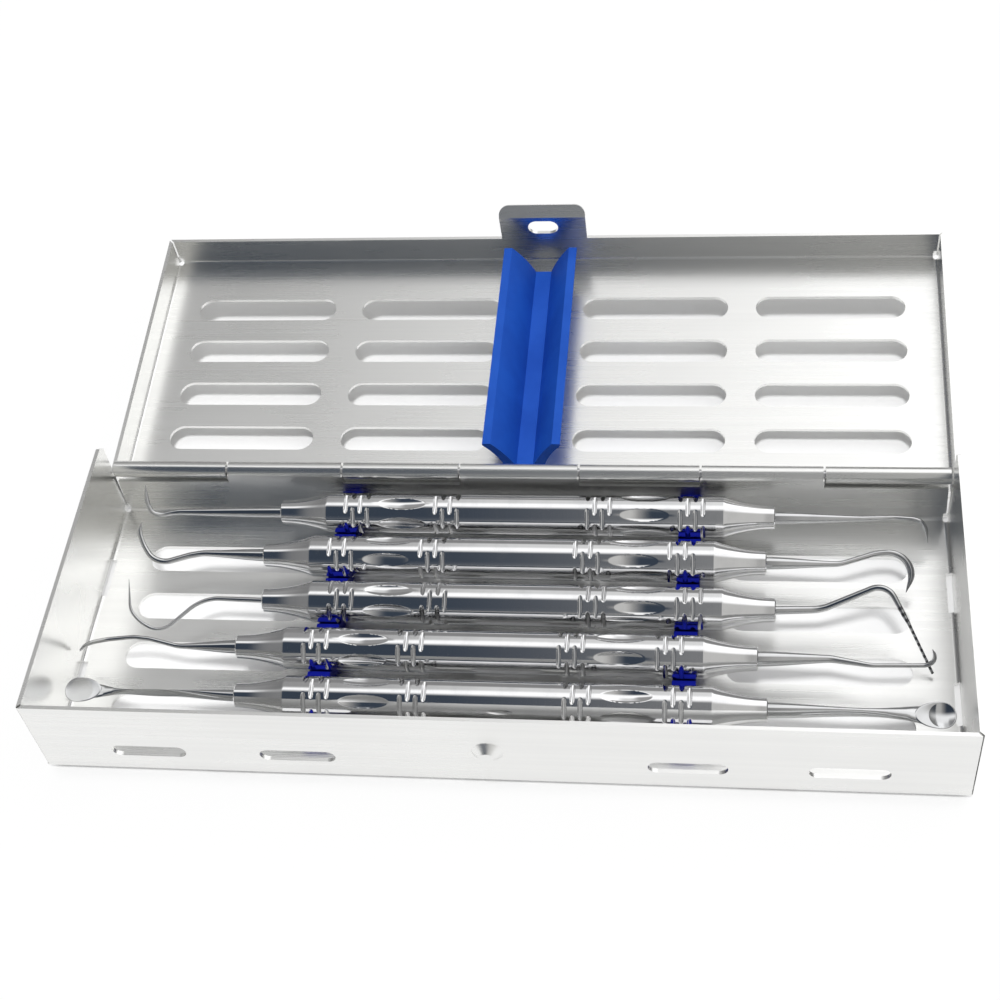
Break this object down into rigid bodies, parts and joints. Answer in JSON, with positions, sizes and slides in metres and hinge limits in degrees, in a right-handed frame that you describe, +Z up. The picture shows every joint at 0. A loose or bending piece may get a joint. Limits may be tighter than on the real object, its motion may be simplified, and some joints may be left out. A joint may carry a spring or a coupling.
{
  "type": "dental instrument cassette",
  "caption": "Slotted sheet-steel sterilising cassette with a rolled-hinge lid, silicone rails and a silicone hold-down bar, carrying double-ended dental hand instruments.",
  "frame": {"origin": "middle of the base tray's underside, on the table", "axes": "+X along the cassette to the right, +Y from the latch side to the hinge side, +Z up; the lid stands open behind the base"},
  "size_m": [0.1822, 0.1388, 0.0251],
  "materials": {
    "base_steel": "fine brushed stainless sheet",
    "lid_steel": "polished stainless sheet",
    "pin_steel": "drawn wire",
    "rail_silicone": "satin blue silicone",
    "bar_silicone": "satin blue silicone",
    "handle_steel": "polished",
    "tip_steel": "polished"
  },
  "bodies": {
    "base": {"base_tray": "base_steel", "hinge_pin": "pin_steel", "left_rail": "rail_silicone", "right_rail": "rail_silicone"},
    "cover": {"lid": "lid_steel", "lid_bar": "bar_silicone"},
    "sickle": {"sickle_handle": "handle_steel", "sickle_tip_left": "tip_steel", "sickle_tip_right": "tip_steel"},
    "scaler": {"scaler_handle": "handle_steel", "scaler_tip_left": "tip_steel", "scaler_tip_right": "tip_steel"},
    "probe": {"probe_handle": "handle_steel", "probe_tip_left": "tip_steel", "probe_tip_right": "tip_steel"},
    "curette": {"curette_handle": "handle_steel", "curette_tip_left": "tip_steel", "curette_tip_right": "tip_steel"},
    "spoon": {"spoon_handle": "handle_steel", "spoon_tip_left": "tip_steel", "spoon_tip_right": "tip_steel"}
  },
  "joints": [
    {"name": "lid_hinge", "type": "hinge", "parent": "base", "child": "cover", "pos_m": [0, 0.03415, 0.0126], "axis": [-1, 0, 0], "range_deg": [-175.3, 0]},
    {"name": "sickle_lift", "type": "slide", "parent": "base", "child": "sickle", "axis": [0, 0, 1], "range_m": [0, 0.04]},
    {"name": "scaler_lift", "type": "slide", "parent": "base", "child": "scaler", "axis": [0, 0, 1], "range_m": [0, 0.04]},
    {"name": "probe_lift", "type": "slide", "parent": "base", "child": "probe", "axis": [0, 0, 1], "range_m": [0, 0.04]},
    {"name": "curette_lift", "type": "slide", "parent": "base", "child": "curette", "axis": [0, 0, 1], "range_m": [0, 0.04]},
    {"name": "spoon_lift", "type": "slide", "parent": "base", "child": "spoon", "axis": [0, 0, 1], "range_m": [0, 0.04]}
  ]
}
